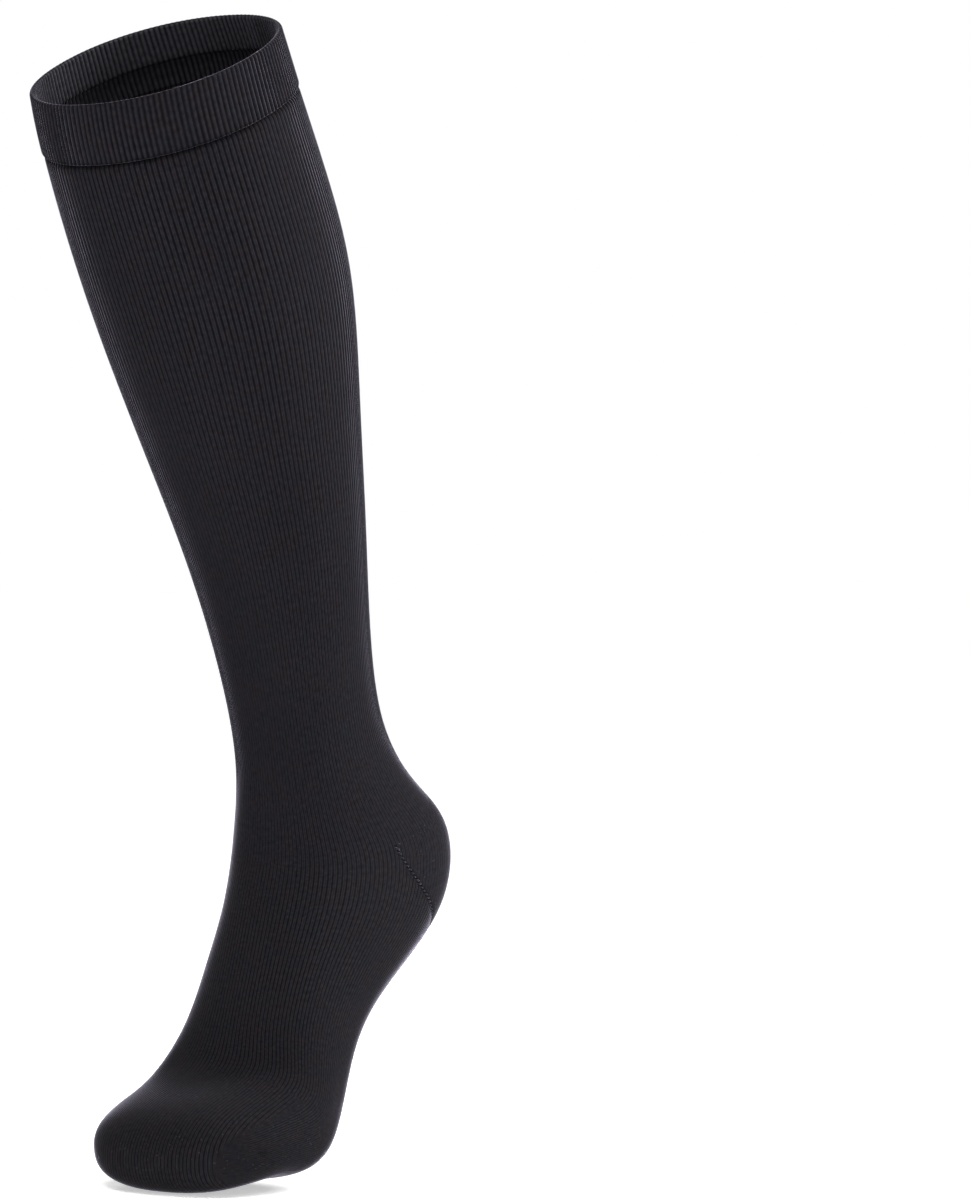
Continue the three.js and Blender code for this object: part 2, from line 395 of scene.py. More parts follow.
class Wire:
    """A node's output; arithmetic on it adds Math nodes to its board."""

    def __init__(self, board: "Board", socket: bpy.types.NodeSocket) -> None:
        """Keeps the output and the board it is on."""
        self.board = board
        self.socket = socket

    def __add__(self, other: "Number") -> "Wire":
        """self + other."""
        return self.board.maths("ADD", self, other)

    def __radd__(self, other: "Number") -> "Wire":
        """other + self."""
        return self.board.maths("ADD", other, self)

    def __sub__(self, other: "Number") -> "Wire":
        """self - other."""
        return self.board.maths("SUBTRACT", self, other)

    def __rsub__(self, other: "Number") -> "Wire":
        """other - self."""
        return self.board.maths("SUBTRACT", other, self)

    def __mul__(self, other: "Number") -> "Wire":
        """self * other."""
        return self.board.maths("MULTIPLY", self, other)

    def __rmul__(self, other: "Number") -> "Wire":
        """other * self."""
        return self.board.maths("MULTIPLY", other, self)


Number = Union[Wire, float]
Setting = Union[str, float, int, bool]


class Board:
    """The node board of one material."""

    def __init__(self, name: str) -> None:
        """Starts an empty material."""
        self.material = bpy.data.materials.new(name)
        self.material.use_nodes = True
        self.tree = self.material.node_tree
        self.tree.nodes.clear()

    def add(self, kind: str, settings: dict[str, Setting], inputs: dict[str, object]) -> bpy.types.ShaderNode:
        """Adds any node.

        Args:
            kind: the node's type.
            settings: the node's own settings, set before its inputs.
            inputs: a value or a wire for each named input.

        Returns:
            The new node.
        """
        node = self.tree.nodes.new(kind)
        for key, value in settings.items():
            setattr(node, key, value)
        for key, value in inputs.items():
            socket = self.named(node.inputs, key)
            if isinstance(value, Wire):
                self.tree.links.new(value.socket, socket)
            else:
                socket.default_value = value
        return node

    @staticmethod
    def named(sockets: Sequence[bpy.types.NodeSocket], key: str) -> bpy.types.NodeSocket:
        """The socket with this identifier, or else with this name."""
        return ([s for s in sockets if s.identifier == key] or [s for s in sockets if s.name == key])[0]

    def wire(self, node: bpy.types.ShaderNode, output: str) -> Wire:
        """One output of a node, by its identifier or name."""
        return Wire(self, self.named(node.outputs, output))

    def result(self, output: str, kind: str, settings: dict[str, Setting], inputs: dict[str, object]) -> Wire:
        """One output of a new node."""
        return self.wire(self.add(kind, settings, inputs), output)

    def surface(self, inputs: dict[str, object]) -> bpy.types.Material:
        """Ends the material with a Principled surface, and returns it."""
        finish = self.result("BSDF", "ShaderNodeBsdfPrincipled", {}, inputs)
        self.add("ShaderNodeOutputMaterial", {}, {"Surface": finish})
        return self.material

    def position(self) -> Wire:
        """The point's place in the object's own frame, in metres."""
        return self.result("Object", "ShaderNodeTexCoord", {}, {})

    def maths(self, operation: str, first: Number, second: Number = 0.0) -> Wire:
        """A Math node's result."""
        inputs = {"Value": first, "Value_001": second}
        return self.result("Value", "ShaderNodeMath", {"operation": operation}, inputs)

    def ramp(self, x: Number, low: float, high: float) -> Wire:
        """A soft step from 0 at low to 1 at high."""
        inputs = {"Value": x, "From Min": low, "From Max": high}
        return self.result("Result", "ShaderNodeMapRange", {"interpolation_type": "SMOOTHSTEP"}, inputs)

    def wave(self, x: Number) -> Wire:
        """A wave of x from 0 to 1 and back, with its crests at whole numbers."""
        return 0.5 + 0.5 * self.maths("COSINE", x * FULL_TURN)

    def noise(self, where: Wire, scale: float, detail: float = 2.0) -> Wire:
        """Soft noise from 0 to 1 over a vector."""
        inputs = {"Vector": where, "Scale": scale, "Detail": detail}
        return self.result("Fac", "ShaderNodeTexNoise", {}, inputs)

    def uneven(self, noise: Wire, spread: float) -> Wire:
        """A factor that varies round 1 with a noise, by half the spread to either side."""
        return (1.0 - spread / 2) + spread * noise

    def scaled(self, where: Wire, factors: Colour) -> Wire:
        """A vector with each of its parts multiplied by its own factor."""
        inputs = {"Vector": where, "Vector_001": factors}
        return self.result("Vector", "ShaderNodeVectorMath", {"operation": "MULTIPLY"}, inputs)

    def blend(self, share: Number, low: object, high: object) -> Wire:
        """A colour between two others."""
        inputs = {"Factor_Float": share, "A_Color": low, "B_Color": high}
        return self.result("Result_Color", "ShaderNodeMix", {"data_type": "RGBA"}, inputs)


# Scales of the noises over the cloth, in waves a metre, from clouds of tone down to single fibres.
CLOUD_SCALE = 26.0
RIB_PATCH_SCALE = 65.0
DRIFT_SCALE = 90.0
HUE_SCALE = 140.0
FLECK_SCALE = 900.0
FIBRE_SCALE = 2600.0

# Thick and thin places of the yarn, in waves for each wale and each course.
SLUB_SCALE = (0.5, 0.42, 1.0)

# The mean painted shade of the pattern of wales, as it looks where the wales are faint.
MEAN_WALE_SHADE = 0.43

# How much painted shade darkens the cloth where it lies deepest in folds, seams and pits.
FOLD_SHADE = 0.8

BLACK = (0.0, 0.0, 0.0, 1.0)
WARM = (1.10, 0.98, 1.02)
COOL = (0.95, 1.0, 1.08)


@dataclass(frozen=True)
class KnitFinish:
    """The look of one of the stocking's knits.

    shade is the yarn's colour on top of the stitches, hollow and groove the shares of it that painted shade
    leaves between the wales and between the ribs, loops how much paler the inner face is painted, as painted
    light inside the tube, and fleck_tone how much paler the flecks are. The heights are shares of relief,
    which is in metres.
    """

    name: str
    shade: Colour
    # Shares of the colour left between the wales and between the ribs, as painted shade.
    hollow: float = 0.35
    groove: float = 0.28
    wale_height: float = 0.5
    stitch_height: float = 0.12
    rib_height: float = 1.6
    fibre_height: float = 0.08
    slub_height: float = 0.25
    relief: float = 0.05 * MM
    unevenness: float = 1.1
    cloudiness: float = 0.28
    specular: float = 0.03
    roughness: float = 0.88
    roughness_spread: float = 0.08
    sheen: float = 1.0
    sheen_roughness: float = 0.18
    sheen_tint: Colour = (0.86, 0.80, 1.0)
    flecks: float = 0.0
    fleck_tone: float = 5.0
    # Painted light: how much paler the inner face is, where light reaches inside the tube.
    loops: float = 2.8

    def tinted(self, factors: Colour) -> tuple[float, ...]:
        """The yarn's colour with its own factor for each part."""
        return tuple(min(1.0, part * factor) for part, factor in zip(self.shade, factors)) + (1.0,)

    def material(self) -> bpy.types.Material:
        """Builds the material.

        Returns:
            A material that reads the knit UV map and the marks of the cloth.
        """
        board = Board(self.name)
        knit = board.result("UV", "ShaderNodeUVMap", {"uv_map": "knit"}, {})
        split = board.add("ShaderNodeSeparateXYZ", {}, {"Vector": knit})
        wale, course = board.wire(split, "X"), board.wire(split, "Y")
        rib, bold, painted_shade, back = (
            board.result("Fac", "ShaderNodeAttribute", {"attribute_name": name}, {})
            for name in ("rib", "bold", "painted_shade", "back")
        )
        place = board.position()

        # The stitches: rounded wales, with a slanted wave along each for its loops, and wider ribs over them.
        edge = 2.0 * board.maths("ABSOLUTE", board.maths("FRACT", wale) - 0.5)
        ridge = 1.0 - edge * edge
        stitch = board.wave(course + 0.55 * edge + 0.8 * board.noise(place, DRIFT_SCALE))
        fibre = board.noise(place, FIBRE_SCALE, 3.0)
        rib_crest = board.wave(wale * 0.5)
        rib = rib * board.uneven(board.noise(place, RIB_PATCH_SCALE), self.unevenness)
        slub = board.noise(board.scaled(knit, SLUB_SCALE), 1.0, 1.0)
        height = bold * ridge * (self.wale_height + stitch * self.stitch_height) + fibre * self.fibre_height
        height = height + rib * rib_crest * self.rib_height + slub * self.slub_height
        bump = {"Strength": 1.0, "Distance": self.relief, "Height": height}

        # Their tone: painted shade between wales and ribs and in folds, seams and pits, and uneven from yarn
        # to yarn and all over.
        # Painted shade between the wales, deepest at their edges and where the stitch wave is low.
        depth = 1.0 - ridge * (0.7 + 0.3 * stitch)
        between = 1.0 - (1.0 - self.hollow) * (MEAN_WALE_SHADE + bold * (depth - MEAN_WALE_SHADE))
        # Painted shade between the ribs and in folds, seams and pits.
        rib_and_fold_shade = (1.0 - (1.0 - self.groove) * (0.5 + rib * (0.5 - rib_crest))) * (1.0 - FOLD_SHADE * painted_shade)
        cloudy = board.uneven(board.noise(place, CLOUD_SCALE, 3.0), self.cloudiness)
        tone = between * rib_and_fold_shade * board.uneven(slub, self.unevenness) * cloudy
        hue_share = board.ramp(board.noise(place, HUE_SCALE), 0.35, 0.65)
        hue = board.blend(hue_share, self.tinted(COOL), self.tinted(WARM))
        # The inner face is painted paler, as painted light inside the tube.
        yarn = board.blend(back, hue, self.tinted((self.loops,) * 3))
        shade = board.blend(tone, BLACK, yarn)
        speck = board.ramp(board.noise(place, FLECK_SCALE, 1.0), 0.70, 0.78) * self.flecks
        return board.surface(
            {
                "Base Color": board.blend(speck, shade, self.tinted((self.fleck_tone,) * 3)),
                "Roughness": self.roughness + self.roughness_spread * (fibre - 0.5),
                "Specular IOR Level": self.specular,
                "Sheen Weight": self.sheen,
                "Sheen Roughness": self.sheen_roughness,
                "Sheen Tint": self.sheen_tint + (1.0,),
                "Normal": board.result("Normal", "ShaderNodeBump", {}, bump),
            }
        )


CUFF_KNIT = KnitFinish(
    "cuff_rib_knit", (0.0195, 0.019, 0.0225), wale_height=0.15, rib_height=0.0, hollow=0.85
)
LEG_KNIT = KnitFinish("leg_knit", (0.023, 0.0225, 0.0265), rib_height=1.0)
HEEL_KNIT = KnitFinish("heel_knit", (0.023, 0.0225, 0.0265), flecks=0.30, sheen=0.5)
FOOT_KNIT = KnitFinish("foot_knit", (0.023, 0.0225, 0.0255), flecks=0.06)
TOE_KNIT = KnitFinish("toe_knit", (0.023, 0.0225, 0.025), flecks=0.18, stitch_height=0.0)
# Paler than the cloth: a painted highlight on the suture's raised stitches.
SUTURE_YARN = KnitFinish("heel_suture_yarn", (0.050, 0.048, 0.056), wale_height=0.0)


def rib_hollow(turn: Grid) -> Grid:
    """How deep in its groove a point of the rib pattern lies: 0 on a rib's crest and 1 in the groove."""
    return (0.5 - 0.5 * np.cos(turn * RIBS)) ** 1.2


def knit_at(place: Grid, turn: Grid) -> Grid:
    """Wales and courses at points of the leg and the foot, where the courses run straight round."""
    place, turn = np.broadcast_arrays(place, turn)
    return np.stack([turn / FULL_TURN * WALES, FORM.length_to(place) / COURSE], -1)


def plain(place: Grid, turn: Grid) -> Grid:
    """No relief."""
    return np.zeros_like(place)


def level(place: float) -> Seam:
    """A seam that runs straight round at one place along the tube."""
    return lambda turn: np.full_like(turn, place)


def dress(thing: bpy.types.Object, finish: KnitFinish, node: str) -> bpy.types.Object:
    """Gives a piece its material and its place in the frame.

    Args:
        thing: the new piece.
        finish: its knit.
        node: the solid that it stands for.

    Returns:
        The same piece.
    """
    thing.data.materials.append(finish.material())
    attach(thing, "root")
    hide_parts(node)
    LOG.info("%s: %d points", thing.name, len(thing.data.vertices))
    return thing


def whole_area(thing: bpy.types.Object) -> float:
    """The area of all of a piece's faces, in square metres."""
    return sum(face.area for face in thing.data.polygons)


@dataclass
class Cuff:
    """The ribbed band, a welt folded double. Distances down are from the rim, and out from the form.

    The band curls in at its lower edge by lip and tuck, and swells a little. Inside, what is turned in ends
    in a step. Rows are counted from the lower edge outside, over the rim.
    """

    height: float = 26 * MM
    steps_per_rib: int = 8
    outside: float = 0.65 * MM
    inside: float = -1.9 * MM
    rib_depth: float = 0.58 * MM
    inner_rib_depth: float = 0.5 * MM
    lip: float = 0.9 * MM
    tuck: float = 1.1 * MM
    swell: float = 0.12 * MM
    turned_in: float = 17 * MM
    step: float = 0.9 * MM
    wall_rows: int = 9
    rim_rows: int = 13
    face_rows: int = 6
    first_inner_row: int = 23
    # Rows over which the inner face turns paler: painted light inside the band.
    inner_light_rows: tuple[float, float] = (21, 27)
    # Painted shade along the band's curled lower edge outside, and at the step inside.
    hem_shade: float = 0.7
    under_shade: float = 0.6

    def profile(self) -> tuple[Grid, Grid, Grid]:
        """The band's section, from its lower edge outside, over the rim, to its lower edge inside.

        Returns:
            Three arrays: the distance down, the distance out, and the share of the rib's depth.
        """
        half = (self.outside - self.inside) / 2
        middle = (self.outside + self.inside) / 2
        shoulder = half * 1.4
        rise = np.array([0.0, 0.15, 0.35, 0.6, 0.8, 0.95, 1.0])
        curl_down = self.height - self.lip * (1 - np.cos(rise * math.pi / 2))
        curl_out = self.outside - self.tuck * (1 - np.sin(rise * math.pi / 2))
        wall_down = np.linspace(self.height - self.lip * 1.6, shoulder, self.wall_rows)
        wall_out = self.outside + self.swell * np.sin(np.linspace(0.2, math.pi - 0.2, self.wall_rows))
        bend = np.linspace(0, math.pi, self.rim_rows)
        rim_down = half * (1 - np.sin(bend))
        rim_out = middle + half * np.cos(bend)
        edge = self.turned_in + np.array([-0.9, -0.3, 0.0, 0.1, 0.8]) * MM
        edge_out = self.inside + np.array([0.0, 0.12, 0.4, 0.8, 1.0]) * self.step
        face_down = np.linspace(shoulder, edge[0] - 2 * MM, self.face_rows)
        back_down = np.concatenate([face_down, edge, [self.height - 4 * MM, self.height]])
        face_out = np.full(self.face_rows, self.inside)
        back_out = np.concatenate([face_out, edge_out, [self.inside + self.step, self.inside]])
        down = np.concatenate([curl_down, wall_down, rim_down, back_down])
        out = np.concatenate([curl_out, wall_out, rim_out, back_out])
        over_rim = 0.45 + 0.55 * np.abs(np.cos(bend))
        ribbed = np.concatenate(
            [0.35 + 0.65 * rise, np.ones_like(wall_down), over_rim, np.ones_like(back_down)]
        )
        return down, out, ribbed

    def build(self) -> bpy.types.Object:
        """Makes the band."""
        down, out, ribbed = self.profile()
        turn = whole_turn(RIBS * self.steps_per_rib)
        place = (down / self.height * WELT)[:, None]
        row = np.arange(len(out))
        outer = row < self.first_inner_row
        hollow = rib_hollow(turn)[None, :]
        inner_relief = self.inner_rib_depth * (hollow - 1) + self.inner_rib_depth * 0.5
        relief = ribbed[:, None] * np.where(outer[:, None], -self.rib_depth * hollow, inner_relief)
        points = FORM.cloth(place, turn[None, :-1], out[:, None] + relief[:, :-1])
        courses = run_along(np.stack([down, out], -1)) / COURSE
        knit = np.stack(np.broadcast_arrays(turn[None, :] / FULL_TURN * WALES, courses[:, None]), -1)
        # Painted shade at the lower edge outside and at the turned-in step inside.
        hem = self.hem_shade * smooth_step(self.height - 1.8 * MM, self.height, down)
        under = self.under_shade * smooth_step(self.turned_in - 0.4 * MM, self.turned_in + 0.1 * MM, down)
        marks = {
            "rib": ribbed[:, None],
            "bold": np.array(1.0),
            "painted_shade": np.where(outer, hem, under)[:, None],
            "back": smooth_step(*self.inner_light_rows, row)[:, None],
        }
        wall = ClothGrid("cuff_cloth", points, knit, True, (0, len(down) - 1), marks)
        thing = dress(wall.build(), CUFF_KNIT, "cuff")
        return thing


@dataclass
class TubeWall:
    """A wall of cloth between two seams: an outside with its relief, and a plainer inside.

    turns are the angles of its columns, and rows the shares of the way between the seams of its outer rows.
    """

    name: str
    start: Seam
    end: Seam
    turns: Grid
    all_round: bool
    rows: Grid
    wall: float
    relief: OverCloth
    marks: Callable[[Grid, Grid], dict[str, Grid]]
    inner_relief: OverCloth = plain
    knit: OverCloth = knit_at
    inner_rows: int = 24

    def places(self, shares: Grid, turn: Grid) -> Grid:
        """The place of each row and column between the two seams."""
        first, last = self.start(turn)[None, :], self.end(turn)[None, :]
        return first + (last - first) * shares[:, None]

    def build(self) -> bpy.types.Object:
        """Makes the wall's mesh object."""
        used = self.turns[:-1] if self.all_round else self.turns
        inner_shares = np.linspace(1, 0, self.inner_rows)
        outer, inner = self.places(self.rows, used), self.places(inner_shares, used)
        turn = np.broadcast_to(used[None, :], outer.shape)
        inner_turn = np.broadcast_to(used[None, :], inner.shape)
        outside = self.relief(outer, turn)
        inside = self.inner_relief(inner, inner_turn) - self.wall
        points = np.concatenate([FORM.cloth(outer, turn, outside), FORM.cloth(inner, inner_turn, inside)])
        whole = np.concatenate([self.places(self.rows, self.turns), self.places(inner_shares, self.turns)])
        knit = self.knit(whole, np.broadcast_to(self.turns[None, :], whole.shape))
        marks = self.marks(np.concatenate([outer, inner]), np.concatenate([turn, inner_turn]))
        marks["back"] = (np.arange(len(points)) >= len(outer)).astype(float)[:, None]
        count = len(self.rows)
        sharp = (0, count - 1, count, count + self.inner_rows - 1)
        return ClothGrid(self.name, points, knit, self.all_round, sharp, marks).build()


@dataclass
class Leg:
    """The leg of the stocking, from the cuff to the ankle, with ribs that fade towards the ankle."""

    steps_per_rib: int = 6
    wall: float = 1.3 * MM
    rib_depth: float = 0.32 * MM
    rib_end: tuple[float, float] = (6.9, 7.8)
    link_depth: float = 1.0 * MM
    link_from: float = 0.1 * MM
    link_width: float = 2.6 * MM
    # How much painted shade darkens the hollow under the cuff.
    link_shade: float = 0.75

    def rib_share(self, place: Grid) -> Grid:
        """How strongly the ribs stand out at each place, from 1 at the welt to less than half of it."""
        return np.interp(place, [1, 2, 3, 4, 5, 6, 7.5], [1, 1, 0.9, 0.75, 0.62, 0.52, 0.45])

    def relief(self, place: Grid, turn: Grid) -> Grid:
        """Ribs outside, and the hollow under the cuff where the two are linked."""
        depth = self.rib_depth * self.rib_share(place) * (1 - smooth_step(*self.rib_end, place))
        return -depth * rib_hollow(turn) - self.link_depth * self.link(place)

    def link(self, place: Grid) -> Grid:
        """How deep a point lies in the hollow under the cuff, from 0 to 1."""
        from_welt = FORM.length_to(place) - FORM.length_to(np.array(WELT))
        return 1 - smooth_step(self.link_from, self.link_width, from_welt)

    def marks(self, place: Grid, turn: Grid) -> dict[str, Grid]:
        """Ribs that fade downwards, and painted shade in the hollow under the cuff."""
        painted_shade = self.link_shade * self.link(place)
        return {"rib": self.rib_share(place), "bold": np.array(1.0), "painted_shade": painted_shade}

    def inner_relief(self, place: Grid, turn: Grid) -> Grid:
        """Ribs inside, where the grooves outside are."""
        return -self.rib_depth * self.rib_share(place) * rib_hollow(turn)

    def build(self) -> bpy.types.Object:
        """Makes the leg."""
        turns = whole_turn(RIBS * self.steps_per_rib)
        rows = np.concatenate([[0, 0.001, 0.002, 0.0032, 0.0048, 0.0075], np.linspace(0.012, 1, 62)])
        wall = TubeWall(
            "leg_cloth", level(WELT), POCKET.top, turns, True, rows, self.wall,
            relief=self.relief, marks=self.marks, inner_relief=self.inner_relief,
        )
        thing = dress(wall.build(), LEG_KNIT, "leg")
        return thing


@dataclass
class Foot:
    """The foot and instep, from the ankle and the heel pocket to the toe seam."""

    columns: int = WALES
    wall: float = 1.4 * MM
    bold_width: float = 0.5
    bold_ribs: float = 0.4

    def marks(self, place: Grid, turn: Grid) -> dict[str, Grid]:
        """Bold wales where the foot joins the heel pocket, and painted shade in the suture's hollow."""
        near = bell(place - POCKET.bottom(turn), self.bold_width) * smooth_step(0.0, 0.1, POCKET.share(turn))
        rib = np.interp(place, [8.3, 11, 13.4], [0.5, 0.8, 0.7]) + self.bold_ribs * near
        return {"rib": rib, "bold": 1 + near, "painted_shade": POCKET.painted_shade(place, turn)}

    def build(self) -> bpy.types.Object:
        """Makes the foot."""
        rows = np.concatenate([[0, 0.006, 0.014, 0.026], np.linspace(0.045, 0.985, 72), [1.0]])
        wall = TubeWall(
            "foot_cloth", POCKET.bottom, level(TOE_SEAM), whole_turn(self.columns), True, rows, self.wall,
            relief=POCKET.relief, marks=self.marks,
        )
        thing = dress(wall.build(), FOOT_KNIT, "foot")
        return thing


def tube_faces(rings: int, corners: int) -> list[list[int]]:
    """The faces of a closed tube of rings of points, by the points' numbers."""
    faces = []
    for i in range(rings - 1):
        for k in range(corners):
            a, b = i * corners + k, i * corners + (k + 1) % corners
            faces.append([a, b, b + corners, a + corners])
    last = (rings - 1) * corners
    return faces + [list(reversed(range(corners))), list(range(last, last + corners))]


@dataclass
class Heel:
    """The heel pocket, knitted double yarn, and the slanted stitches of its suture.

    gap, length and radius are a full stitch's sizes, rise how high it stands at its middle and sink how deep
    its ends lie. The suture's stitches stop at end, a share of the way to the middle of the back.
    """

    columns: int = 158
    wall: float = 1.8 * MM
    ribs: float = 0.4
    gap: float = 2.5 * MM
    length: float = 3.6 * MM
    radius: float = 0.44 * MM
    rise: float = 0.6 * MM
    sink: float = 0.25 * MM
    slant: float = math.radians(32)
    first: float = 1.8 * MM
    jitter: float = 0.25 * MM
    fade: float = 0.4
    fullness: tuple[float, float] = (0.72, 1.08)
    end: float = 0.5
    samples: int = 400
    rings: int = 9
    corners: int = 8

    def knit(self, place: Grid, turn: Grid) -> Grid:
        """Wales as on the leg, and courses counted down each wale from the upper seam."""
        top = POCKET.top(turn)
        run = np.linalg.norm(FORM.points(place, turn) - FORM.points(top, turn), axis=-1)
        return np.stack([turn / FULL_TURN * WALES, (FORM.length_to(top) + run) / COURSE], -1)

    def marks(self, place: Grid, turn: Grid) -> dict[str, Grid]:
        """Fine wales with faint ribs, and painted shade in the hollow along the suture."""
        return {"rib": np.array(self.ribs), "bold": np.array(1.0), "painted_shade": POCKET.painted_shade(place, turn)}

    def build(self) -> bpy.types.Object:
        """Makes the pocket with its suture."""
        reach = POCKET.half_reach
        steps = np.round(np.linspace(-reach, reach, self.columns + 1) / FULL_TURN * WALES * 2) / 2
        turns = math.pi + np.clip(steps / WALES * FULL_TURN, -reach, reach)
        rows = np.concatenate([[0.0], np.linspace(0.015, 0.955, 60), [0.974, 0.986, 0.994, 1.0]])
        wall = TubeWall(
            "heel_cloth", POCKET.top, POCKET.bottom, turns, False, rows, self.wall,
            relief=POCKET.relief, marks=self.marks, knit=self.knit,
        )
        thing = dress(wall.build(), HEEL_KNIT, "heel")
        suture = self.suture()
        return thing

    def suture(self) -> bpy.types.Object:
        """Makes the suture's stitches on both sides of the heel."""
        turn = math.pi - POCKET.half_reach * (1 - np.linspace(0, self.end, self.samples))
        place = POCKET.bottom(turn)
        line = FORM.points(place, turn)
        run = run_along(line)
        chance = np.random.default_rng(5)
        stitches: list[Grid] = []
        for side in (1, -1):
            jitter = chance.uniform(-self.jitter, self.jitter)
            for at in np.arange(self.first, run[-1], self.gap) + jitter:
                ahead = np.array([np.interp(at + MM, run, c) - np.interp(at - MM, run, c) for c in line.T])
                size = (1 - self.fade * at / run[-1]) * chance.uniform(*self.fullness)
                middle = np.interp(at, run, place), np.interp(at, run, turn)
                stitches.append(self.stitch(middle, ahead, side, size))
        template = tube_faces(self.rings, self.corners)
        starts = range(0, sum(len(points) for points in stitches), self.rings * self.corners)
        faces = [[start + k for k in face] for start in starts for face in template]
        mesh = bpy.data.meshes.new("heel_suture")
        mesh.from_pydata(np.concatenate(stitches).tolist(), [], faces)
        mesh.shade_smooth()
        crest = np.full(len(mesh.loops) * 2, 0.5, np.float32)
        mesh.uv_layers.new(name="knit").data.foreach_set("uv", crest)
        bold = mesh.attributes.new("bold", "FLOAT", "POINT")
        bold.data.foreach_set("value", np.ones(len(mesh.vertices), np.float32))
        thing = in_scene("heel_suture", mesh)
        thing.data.materials.append(SUTURE_YARN.material())
        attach(thing, "root")
        LOG.info("heel_suture: %d points", len(mesh.vertices))
        return thing

    def stitch(self, middle: tuple[float, float], ahead: Grid, side: int, size: float) -> Grid:
        """One stitch, a short yarn that crosses the suture aslant.

        Args:
            middle: where its middle is along the tube and round it, on the +X side.
            ahead: the suture's direction there.
            side: 1 for that side and -1 for the other.
            size: the share of a full stitch's size.

        Returns:
            The points of its rings, one after another.
        """
        place, turn = np.array(middle[0]), np.array(middle[1])
        small = 0.01
        here = FORM.points(place, turn)
        along = (FORM.points(place + small, turn) - here) / small
        around = (FORM.points(place, turn + small) - here) / small
        ahead = ahead / np.linalg.norm(ahead)
        beside = np.cross(FORM.normals(place, turn), ahead)
        beside = beside * (1 if beside @ along < 0 else -1)
        aslant = ahead * math.cos(self.slant) + beside * math.sin(self.slant)
        half = aslant * self.length / 2 * size
        reach = np.linalg.lstsq(np.stack([along, around], -1), half, rcond=None)[0]
        steps = np.linspace(-1, 1, self.rings)
        places, turns = place + steps * reach[0], turn + steps * reach[1]
        height = self.rise * size * np.cos(steps * math.pi / 2) - self.sink
        spine, up = FORM.cloth(places, turns, height), FORM.normals(places, turns)
        if side < 0:
            spine, up = spine * (-1, 1, 1), up * (-1, 1, 1)
        ahead = np.gradient(spine, axis=0)
        ahead /= np.linalg.norm(ahead, axis=1, keepdims=True)
        across = np.cross(ahead, up)
        radius = self.radius * size * (0.35 + 0.65 * np.sqrt(np.clip(1 - steps**2, 0, 1)))
        angle = (np.arange(self.corners) / self.corners * FULL_TURN)[None, :, None]
        ring = across[:, None] * np.cos(angle) + up[:, None] * np.sin(angle)
        return (spine[:, None] + ring * radius[:, None, None]).reshape(-1, 3)


@dataclass
class Toe:
    """The closed toe cap, whose wales run straight on over the toes.

    Where its cloth faces sideways by more than parting, they run along the foot instead. Both kinds fade out
    towards that line, over front_fade and side_fade, and the sides' also towards the tip, over tip_fade.
    """

    columns: int = WALES
    wall: float = 1.8 * MM
    wale: float = 0.87 * MM
    ribs: float = 0.7
    parting: float = 0.565
    front_fade: tuple[float, float] = (0.45, 0.56)
    side_fade: tuple[float, float] = (0.57, 0.68)
    tip_fade: tuple[float, float] = (14.6, 15.6)
    corner_at: float = 14.8
    corner_size: float = 1.5 * MM
    corner_depth: float = 0.28 * MM
    # How much painted shade darkens the pit at each side.
    corner_shade: float = 0.55

    def knit(self, place: Grid, turn: Grid) -> Grid:
        """Wales that run on over the toes' front and back below, and along the foot at the sides."""
        across = FORM.points(place, turn)[..., 0] / self.wale
        around = turn / FULL_TURN * WALES
        wales = np.where(self.sideways(place, turn) > self.parting, around, across)
        return np.stack([wales, FORM.length_to(place) / COURSE], -1)

    def marks(self, place: Grid, turn: Grid) -> dict[str, Grid]:
        """Wales that fade out where those of the front and the sides meet, and painted shade in the pits."""
        sideways = self.sideways(place, turn)
        front = 1 - smooth_step(*self.front_fade, sideways)
        side = smooth_step(*self.side_fade, sideways) * (1 - smooth_step(*self.tip_fade, place))
        bold = front + side
        return {"rib": self.ribs * bold, "bold": bold, "painted_shade": self.corner_shade * self.corner(place, turn)}

    def corner(self, place: Grid, turn: Grid) -> Grid:
        """How deep a point lies in the small pit at each side, where the toe cap's shaping ends."""
        pit = FORM.points(np.array(self.corner_at), np.array(math.pi / 2))
        points = FORM.points(place, turn)
        points[..., 0] = np.abs(points[..., 0])
        return bell(np.linalg.norm(points - pit, axis=-1), self.corner_size)

    def relief(self, place: Grid, turn: Grid) -> Grid:
        """The pit at each side."""
        return -self.corner_depth * self.corner(place, turn)

    def sideways(self, place: Grid, turn: Grid) -> Grid:
        """How far the cloth faces sideways, from 0 on the toes' top, front and sole to 1 at their sides."""
        return np.abs(FORM.normals(place, turn)[..., 0])

    def build(self) -> bpy.types.Object:
        """Makes the toe cap."""
        rows = 1 - (1 - np.linspace(0, 1, 60)) ** 1.15
        wall = TubeWall(
            "toe_cloth", level(TOE_SEAM), level(TOE_TIP), whole_turn(self.columns), True, rows, self.wall,
            relief=self.relief, marks=self.marks, knit=self.knit,
        )
        thing = dress(wall.build(), TOE_KNIT, "toe")
        return thing


class Softbox(Enum):
    """The studio's lights: place, width, height, and power."""

    KEY = ((1.4, 1.6, 1.2), 0.9, 1.2, 84.0)
    BACK = ((0.9, 1.9, 2.2), 1.4, 1.4, 12.0)
    SIDE = ((-2.2, 1.0, 1.0), 1.4, 1.4, 26.0)
    TOP = ((0.2, -1.6, 2.6), 1.4, 1.4, 68.0)
    FRONT = ((2.6, -2.2, 1.0), 1.6, 1.6, 38.0)


